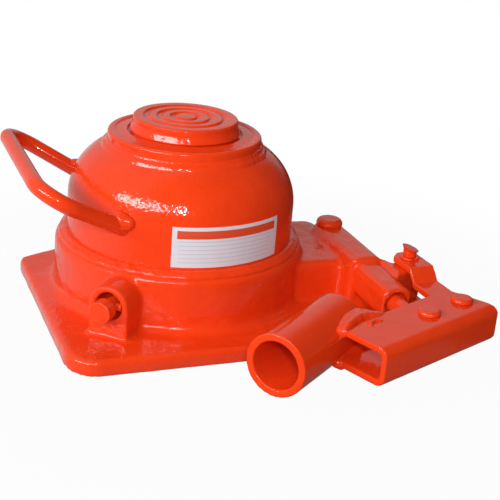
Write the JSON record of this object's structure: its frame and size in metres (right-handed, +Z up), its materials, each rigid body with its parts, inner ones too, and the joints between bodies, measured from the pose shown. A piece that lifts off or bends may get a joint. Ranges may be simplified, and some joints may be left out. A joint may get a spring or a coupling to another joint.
{
  "type": "low-height hydraulic bottle jack",
  "caption": "Low hydraulic bottle jack: square cast base, domed oil tank, grooved ram, carry bar, release valve and a pump lever that swings sideways to raise the ram.",
  "frame": {"origin": "on the ram axis, on the ground under the base", "axes": "+Z up along the ram, +X from the ram toward the pump block, -Y toward the lever side"},
  "size_m": [0.2719, 0.278, 0.1256],
  "materials": {
    "orange_enamel": "thick glossy orange-red enamel over cast and welded steel",
    "bright_steel": "ground bright steel",
    "seal_rubber": "black nitrile",
    "bronze": "plain bronze",
    "label_white": "plain white film with a coloured head band",
    "seal_polymer": "natural polymer"
  },
  "bodies": {
    "base": {"base_casting": "orange_enamel", "tank_shell": "orange_enamel", "tank_weld": "orange_enamel", "collar": "orange_enamel", "collar_weld": "orange_enamel", "pressure_cylinder": "bright_steel", "cylinder_gasket": "bronze", "guide_bush": "bronze", "wiper_ring": "seal_rubber", "carry_handle": "orange_enamel", "handle_weld_front": "orange_enamel", "handle_weld_rear": "orange_enamel", "label_panel": "label_white", "valve_plug": "orange_enamel", "filler_plug": "seal_rubber", "suction_strainer": "bronze", "delivery_plug": "bright_steel", "relief_screw": "bright_steel", "pump_barrel": "orange_enamel", "pump_seal": "seal_rubber", "pump_wiper": "seal_rubber", "release_ball": "bright_steel", "suction_spring": "bright_steel", "delivery_spring": "bright_steel", "relief_spring": "bright_steel"},
    "ram": {"ram": "orange_enamel", "ram_cup_seal": "seal_rubber", "ram_backup_ring": "seal_polymer", "ram_retainer": "bright_steel", "ram_screw": "bright_steel"},
    "plunger": {"pump_plunger": "bright_steel"},
    "lever": {"lever_channel": "orange_enamel", "handle_socket": "orange_enamel", "socket_weld_top": "orange_enamel", "socket_weld_bottom": "orange_enamel", "plunger_pin": "orange_enamel", "fulcrum_pin": "orange_enamel"},
    "links": {"link_upper": "orange_enamel", "link_lower": "orange_enamel", "lug_pin": "orange_enamel", "lug_clip_top": "bright_steel", "lug_clip_bottom": "bright_steel"},
    "release_valve": {"release_stem": "orange_enamel", "release_pin": "orange_enamel", "release_oring": "seal_rubber"},
    "suction_check": {"suction_ball": "bright_steel"},
    "delivery_check": {"delivery_ball": "bright_steel"},
    "relief_check": {"relief_ball": "bright_steel"}
  },
  "joints": [
    {"name": "ram_lift", "type": "slide", "parent": "base", "child": "ram", "axis": [0, 0, 1], "range_m": [0, 0.05]},
    {"name": "pump_stroke", "type": "slide", "parent": "base", "child": "plunger", "axis": [0, -1, 0], "range_m": [-0.0079, 0.0079]},
    {"name": "lever_swing", "type": "hinge", "parent": "plunger", "child": "lever", "pos_m": [0.111, -0.146, 0.03], "axis": [0, 0, 1], "range_deg": [-15, 15]},
    {"name": "link_swing", "type": "hinge", "parent": "base", "child": "links", "pos_m": [0.137, -0.071, 0.03], "axis": [0, 0, 1], "range_deg": [-2.95, 2.95]},
    {"name": "release_turn", "type": "hinge", "parent": "base", "child": "release_valve", "pos_m": [-0.06691, -0.07431, 0.03], "axis": [-0.6691, -0.7431, 0], "range_deg": [0, 540]},
    {"name": "suction_lift", "type": "slide", "parent": "base", "child": "suction_check", "axis": [0, 0, 1], "range_m": [0, 0.0012], "stiffness_N_per_m": 200, "springref_m": -0.002, "deforming": ["suction_spring"]},
    {"name": "delivery_lift", "type": "slide", "parent": "base", "child": "delivery_check", "axis": [0, 0, -1], "range_m": [0, 0.0012], "stiffness_N_per_m": 200, "springref_m": -0.002, "deforming": ["delivery_spring"]},
    {"name": "relief_lift", "type": "slide", "parent": "base", "child": "relief_check", "axis": [0, 0, -1], "range_m": [0, 0.001], "stiffness_N_per_m": 400, "springref_m": -0.004, "deforming": ["relief_spring"]}
  ],
  "couplings": [
    {"joint": "pump_stroke", "follows": "lever_swing", "m_per_rad": 0.02972},
    {"joint": "link_swing", "follows": "lever_swing", "ratio": -0.19287}
  ]
}
